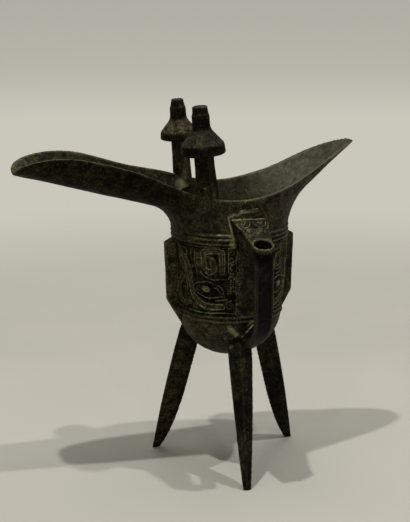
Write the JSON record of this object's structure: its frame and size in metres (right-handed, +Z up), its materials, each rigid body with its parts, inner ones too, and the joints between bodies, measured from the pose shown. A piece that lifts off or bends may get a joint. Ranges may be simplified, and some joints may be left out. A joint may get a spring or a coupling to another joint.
{
  "type": "bronze jue wine vessel",
  "caption": "Footed bronze wine cup of jue shape for pouring: deep round cup on splayed blade legs, long open spout, pointed tail, capped posts and a beast-head handle.",
  "frame": {"origin": "on the ground under the middle of the whole outline", "axes": "+Z up, the spout points to -X, the tail to +X and the handle to -Y"},
  "size_m": [0.1844, 0.0945, 0.2002],
  "materials": {
    "patinated_bronze": "dark green-brown patina",
    "encrusted_bronze": "pale crust on patina"
  },
  "bodies": {
    "root": {"cup_body": "patinated_bronze", "spout": "patinated_bronze", "tail": "patinated_bronze", "front_post": "patinated_bronze", "rear_post": "patinated_bronze", "front_post_cap": "patinated_bronze", "rear_post_cap": "patinated_bronze", "handle_strap": "patinated_bronze", "handle_head": "patinated_bronze", "handle_collar": "encrusted_bronze", "handle_leg": "patinated_bronze", "spout_leg": "patinated_bronze", "tail_leg": "patinated_bronze", "spout_flange": "patinated_bronze", "tail_flange": "patinated_bronze", "back_flange": "patinated_bronze"}
  },
  "joints": []
}
